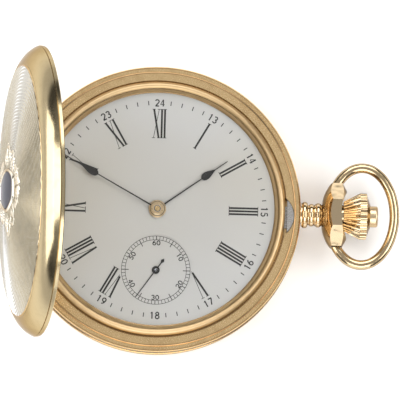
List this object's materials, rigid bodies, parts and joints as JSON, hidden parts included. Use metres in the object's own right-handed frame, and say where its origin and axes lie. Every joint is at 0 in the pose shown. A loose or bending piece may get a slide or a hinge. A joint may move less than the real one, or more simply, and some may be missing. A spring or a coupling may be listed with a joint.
{
  "type": "hunter pocket watch",
  "caption": "Round gilt pocket watch with a sprung front cover, hinged back, small seconds, fluted crown with a release button, and an oval bow.",
  "frame": {"origin": "centre of the flat resting face of the back cover, on the hands' axis", "axes": "+Z out of the dial, +X to the crown at 3 o'clock, +Y to 12 o'clock; the front cover stands open"},
  "size_m": [0.0701, 0.0507, 0.0583],
  "materials": {
    "gold_case": "polished gold plate",
    "steel": "polished",
    "black_hand": "semi-gloss black",
    "silvered_dial": "silvered, fine satin",
    "watch_glass": "clear",
    "gilt_brass": "gilt",
    "nickel_plate": "nickel plated, striped",
    "ruby": "polished ruby",
    "blued_steel": "heat blued"
  },
  "bodies": {
    "case": {"case_middle": "gold_case", "pendant": "gold_case", "bezel": "gold_case", "crystal": "watch_glass", "front_hinge_pin": "gold_case", "back_hinge_pin": "gold_case", "fly_spring": "steel", "spring_screws": "steel", "movement_ring": "gilt_brass", "ring_screws": "blued_steel", "main_plate": "nickel_plate", "barrel_bridge": "nickel_plate", "train_bridge": "nickel_plate", "pallet_bridge": "nickel_plate", "balance_cock": "nickel_plate", "bridge_screws": "blued_steel", "jewels": "ruby", "dial": "silvered_dial", "hairspring": "blued_steel", "crown_wheel_core": "steel", "click_screw": "blued_steel"},
    "front_lid": {"front_cover": "gold_case"},
    "back_lid": {"back_cover": "gold_case"},
    "bow_ring": {"bow": "gold_case"},
    "winding_pinion_arbor": {"winding_pinion": "steel"},
    "stem": {"winding_stem": "steel", "crown": "gold_case"},
    "button": {"push_button": "gold_case"},
    "latch": {"lock_spring": "steel"},
    "clutch": {"clutch_wheel": "steel"},
    "lever": {"setting_lever": "steel"},
    "yoke_arm": {"yoke": "steel"},
    "crown_wheel_disc": {"crown_wheel": "steel"},
    "ratchet": {"ratchet_wheel": "steel", "ratchet_screw": "blued_steel", "barrel_arbor": "steel"},
    "click_arm": {"click": "steel"},
    "barrel": {"barrel_drum": "gilt_brass", "barrel_cover": "gilt_brass", "mainspring": "steel"},
    "centre": {"centre_wheel": "gilt_brass", "cannon_pinion": "steel", "minute_hand": "black_hand", "minute_hand_bush": "gilt_brass"},
    "third": {"third_wheel": "gilt_brass"},
    "fourth": {"fourth_wheel": "gilt_brass", "seconds_hand": "black_hand"},
    "escape": {"escape_wheel": "steel"},
    "minute_work": {"minute_wheel": "gilt_brass"},
    "hour_work": {"hour_wheel": "gilt_brass", "hour_hand": "black_hand", "hour_hand_bush": "gilt_brass"},
    "setting": {"setting_wheel": "steel"},
    "fork": {"pallet_fork": "steel", "pallet_stones": "ruby"},
    "balance": {"balance_wheel": "gilt_brass", "balance_staff": "steel"},
    "index": {"regulator": "steel"}
  },
  "joints": [
    {"name": "front_cover_hinge", "type": "hinge", "parent": "case", "child": "front_lid", "pos_m": [-0.02469, -0.00078, 0.0092], "axis": [-0.0314, 0.9995, 0], "range_deg": [0, 80.6], "stiffness_Nm_per_rad": 0.004, "springref_deg": -34.38},
    {"name": "back_cover_hinge", "type": "hinge", "parent": "case", "child": "back_lid", "pos_m": [-0.02469, -0.00078, 0.0044], "axis": [-0.0314, 0.9995, 0], "range_deg": [0, 85]},
    {"name": "bow_swing", "type": "hinge", "parent": "case", "child": "bow_ring", "pos_m": [0.0314, 0, 0.0062], "axis": [0, 1, 0], "range_deg": [-80, 80]},
    {"name": "winding", "type": "hinge", "parent": "case", "child": "winding_pinion_arbor", "pos_m": [0.0143, 0, 0.0062], "axis": [1, 0, 0], "continuous": true},
    {"name": "crown_pull", "type": "slide", "parent": "winding_pinion_arbor", "child": "stem", "axis": [1, 0, 0], "range_m": [0, 0.0012]},
    {"name": "button_press", "type": "slide", "parent": "stem", "child": "button", "axis": [-1, 0, 0], "range_m": [0, 0.0008], "stiffness_N_per_m": 300, "springref_m": -0.0005},
    {"name": "latch_release", "type": "slide", "parent": "case", "child": "latch", "axis": [-1, 0, 0], "range_m": [0, 0.0003]},
    {"name": "clutch_shift", "type": "slide", "parent": "case", "child": "clutch", "axis": [-1, 0, 0], "range_m": [0, 0.0009]},
    {"name": "setting_lever_turn", "type": "hinge", "parent": "case", "child": "lever", "pos_m": [0.0166, 0.0032, 0.007], "axis": [0, 0, 1], "range_deg": [0, 28]},
    {"name": "yoke_turn", "type": "hinge", "parent": "case", "child": "yoke_arm", "pos_m": [0.0114, 0.0034, 0.007], "axis": [0, 0, -1], "range_deg": [0, 24]},
    {"name": "crown_wheel_turn", "type": "hinge", "parent": "case", "child": "crown_wheel_disc", "pos_m": [0.01092, 0, 0.0042], "axis": [0, 0, 1], "continuous": true},
    {"name": "ratchet_turn", "type": "hinge", "parent": "case", "child": "ratchet", "pos_m": [0.0045, 0.00779, 0.0042], "axis": [0, 0, 1], "continuous": true},
    {"name": "click_lift", "type": "hinge", "parent": "case", "child": "click_arm", "pos_m": [-0.0026, 0.0134, 0.0042], "axis": [0, 0, 1], "range_deg": [0, 8], "stiffness_Nm_per_rad": 0.00002, "springref_deg": -11.46},
    {"name": "barrel_run", "type": "hinge", "parent": "case", "child": "barrel", "pos_m": [0.0045, 0.00779, 0.006], "axis": [0, 0, -1], "continuous": true},
    {"name": "centre_run", "type": "hinge", "parent": "case", "child": "centre", "pos_m": [0, 0, 0.006], "axis": [0, 0, -1], "continuous": true},
    {"name": "third_run", "type": "hinge", "parent": "case", "child": "third", "pos_m": [-0.0045, -0.00619, 0.006], "axis": [0, 0, -1], "continuous": true},
    {"name": "seconds_run", "type": "hinge", "parent": "case", "child": "fourth", "pos_m": [0, -0.0107, 0.006], "axis": [0, 0, -1], "continuous": true},
    {"name": "escape_run", "type": "hinge", "parent": "case", "child": "escape", "pos_m": [0.00496, -0.0089, 0.006], "axis": [0, 0, -1], "continuous": true},
    {"name": "minute_work_run", "type": "hinge", "parent": "case", "child": "minute_work", "pos_m": [0.0036, 0, 0.0076], "axis": [0, 0, -1], "continuous": true},
    {"name": "hour_run", "type": "hinge", "parent": "case", "child": "hour_work", "pos_m": [0, 0, 0.008], "axis": [0, 0, -1], "continuous": true},
    {"name": "setting_run", "type": "hinge", "parent": "case", "child": "setting", "pos_m": [0.0078, 0, 0.0075], "axis": [0, 0, -1], "continuous": true},
    {"name": "fork_rock", "type": "hinge", "parent": "case", "child": "fork", "pos_m": [0.00776, -0.00819, 0.0063], "axis": [0, 0, 1], "range_deg": [-5, 5]},
    {"name": "balance_swing", "type": "hinge", "parent": "case", "child": "balance", "pos_m": [0.0109, -0.0074, 0.0053], "axis": [0, 0, 1], "range_deg": [-270, 270], "stiffness_Nm_per_rad": 0.00000039},
    {"name": "regulator_turn", "type": "hinge", "parent": "case", "child": "index", "pos_m": [0.0109, -0.0074, 0.0038], "axis": [0, 0, 1], "range_deg": [-15, 15]}
  ],
  "couplings": [
    {"joint": "latch_release", "follows": "button_press", "ratio": 0.375},
    {"joint": "clutch_shift", "follows": "crown_pull", "ratio": 0.75},
    {"joint": "setting_lever_turn", "follows": "crown_pull", "rad_per_m": 334.52},
    {"joint": "yoke_turn", "follows": "crown_pull", "rad_per_m": 324.78},
    {"joint": "crown_wheel_turn", "follows": "winding", "ratio": 0.51429},
    {"joint": "ratchet_turn", "follows": "winding", "ratio": -0.27273},
    {"joint": "third_run", "follows": "seconds_run", "ratio": -0.13333},
    {"joint": "centre_run", "follows": "seconds_run", "ratio": 0.016667},
    {"joint": "barrel_run", "follows": "seconds_run", "ratio": -0.0025641},
    {"joint": "escape_run", "follows": "seconds_run", "ratio": -10},
    {"joint": "minute_work_run", "follows": "seconds_run", "ratio": -0.0055556},
    {"joint": "hour_run", "follows": "seconds_run", "ratio": 0.0013889},
    {"joint": "setting_run", "follows": "seconds_run", "ratio": 0.01}
  ]
}
